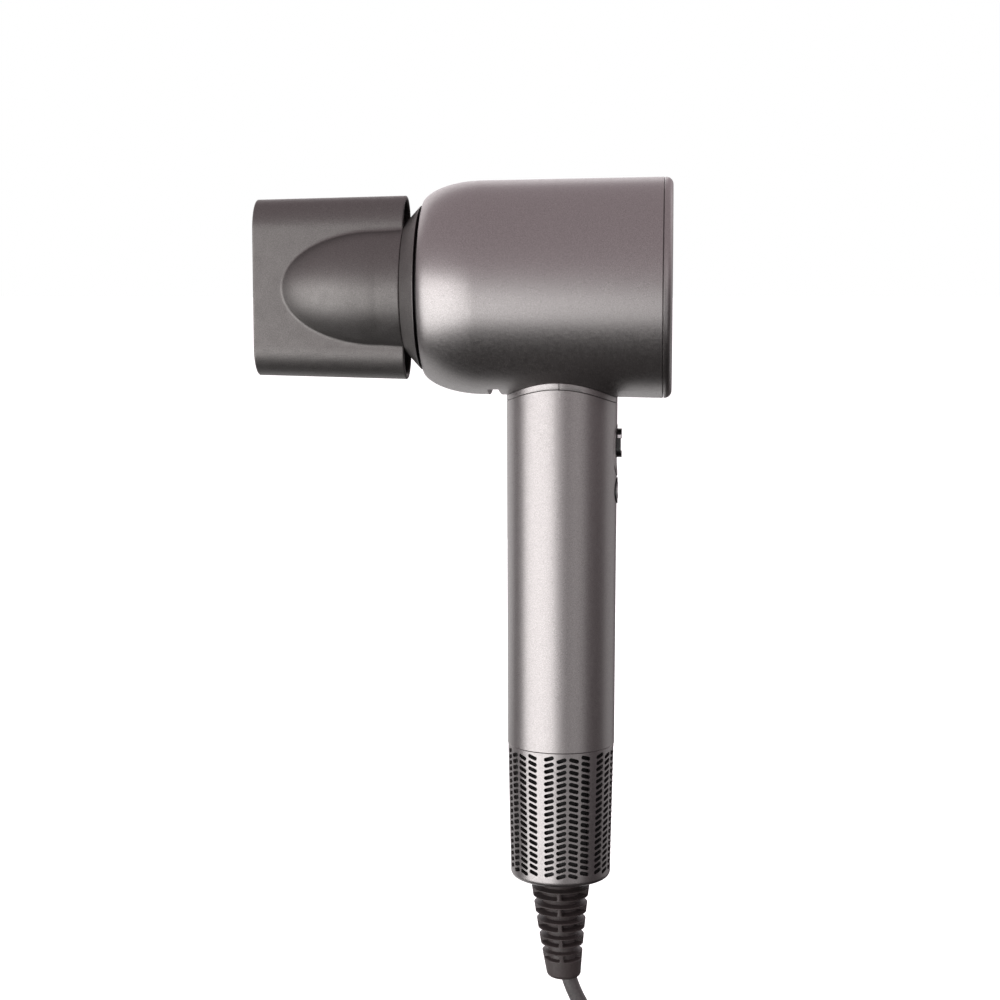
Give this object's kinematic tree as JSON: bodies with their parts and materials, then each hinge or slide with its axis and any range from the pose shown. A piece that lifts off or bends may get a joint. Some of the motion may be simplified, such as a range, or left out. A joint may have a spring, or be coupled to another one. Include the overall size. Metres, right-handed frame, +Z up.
{
  "type": "hair dryer",
  "caption": "Slim hair dryer with a hollow round barrel, a straight handle with a perforated intake sleeve, a turning flat nozzle and a coiled lead with a plug.",
  "frame": {"origin": "middle of the grip, on the handle's axis", "axes": "+Z up along the handle to the barrel; -X the way the air leaves the nozzle; the switch and the button face +X; Y across the barrel"},
  "size_m": [0.2022, 0.1275, 0.3383],
  "materials": {
    "body_paint": "satin",
    "nozzle_plastic": "satin",
    "black_plastic": "matte",
    "control_black": "gloss",
    "control_bright": "polished",
    "control_ring": "gloss",
    "mica": "matte",
    "resistance_wire": "satin",
    "circuit_board": "satin",
    "steel": "satin",
    "copper": "satin",
    "mesh": "satin",
    "mount_rubber": "matte",
    "relief_rubber": "matte",
    "cord_rubber": "satin",
    "tie": "matte",
    "plug_plastic": "matte",
    "pin_metal": "polished"
  },
  "bodies": {
    "dryer": {"barrel_shell": "body_paint", "rear_ring": "body_paint", "inner_duct": "black_plastic", "outlet_ring": "black_plastic", "barrel_magnets": "steel", "heater_frame": "mica", "heater_wires": "resistance_wire", "heat_shield": "mica", "heater_board": "mica", "thermostat": "steel", "thermal_fuse": "steel", "ion_module": "black_plastic", "neck_screws": "steel", "handle_collar": "body_paint", "handle_tube": "body_paint", "handle_chassis": "black_plastic", "switch_bezel": "control_black", "button_ring": "control_ring", "switch_board": "circuit_board", "slide_switch_body": "black_plastic", "push_switch": "black_plastic", "motor_mount_upper": "mount_rubber", "motor_mount_lower": "mount_rubber", "motor_housing": "black_plastic", "motor_cap": "black_plastic", "motor_bearings": "steel", "stator_core": "steel", "stator_windings": "copper", "motor_board": "circuit_board", "intake_cage": "black_plastic", "cord_clamp": "black_plastic", "clamp_screws": "steel", "strain_relief": "relief_rubber", "power_cord": "cord_rubber", "cord_coil": "cord_rubber", "cord_tie": "tie", "plug_lead": "cord_rubber", "plug_body": "plug_plastic", "plug_pins": "pin_metal"},
    "nozzle_ring": {"nozzle_mount_ring": "black_plastic", "nozzle_magnets": "steel"},
    "nozzle": {"nozzle_collar": "nozzle_plastic", "nozzle_body": "nozzle_plastic", "nozzle_duct": "black_plastic", "nozzle_vanes": "black_plastic"},
    "slider": {"power_slider": "control_black", "slider_strip": "control_bright"},
    "button": {"cold_button": "control_bright"},
    "rotor": {"rotor_shaft": "steel", "rotor_magnet": "steel", "impeller": "black_plastic"},
    "sleeve": {"intake_sleeve": "body_paint", "mesh_filter": "mesh"}
  },
  "joints": [
    {"name": "nozzle_pull", "type": "slide", "parent": "dryer", "child": "nozzle_ring", "axis": [-1, 0, 0], "range_m": [0, 0.03]},
    {"name": "nozzle_spin", "type": "hinge", "parent": "nozzle_ring", "child": "nozzle", "pos_m": [-0.047, 0, 0.098], "axis": [1, 0, 0], "continuous": true},
    {"name": "power_slide", "type": "slide", "parent": "dryer", "child": "slider", "axis": [0, 0, -1], "range_m": [0, 0.005]},
    {"name": "button_press", "type": "slide", "parent": "dryer", "child": "button", "axis": [-1, 0, 0], "range_m": [0, 0.0008], "stiffness_N_per_m": 600},
    {"name": "rotor_spin", "type": "hinge", "parent": "dryer", "child": "rotor", "pos_m": [0, 0, -0.04], "axis": [0, 0, 1], "continuous": true},
    {"name": "sleeve_pull", "type": "slide", "parent": "dryer", "child": "sleeve", "axis": [0, 0, -1], "range_m": [0, 0.04]}
  ]
}
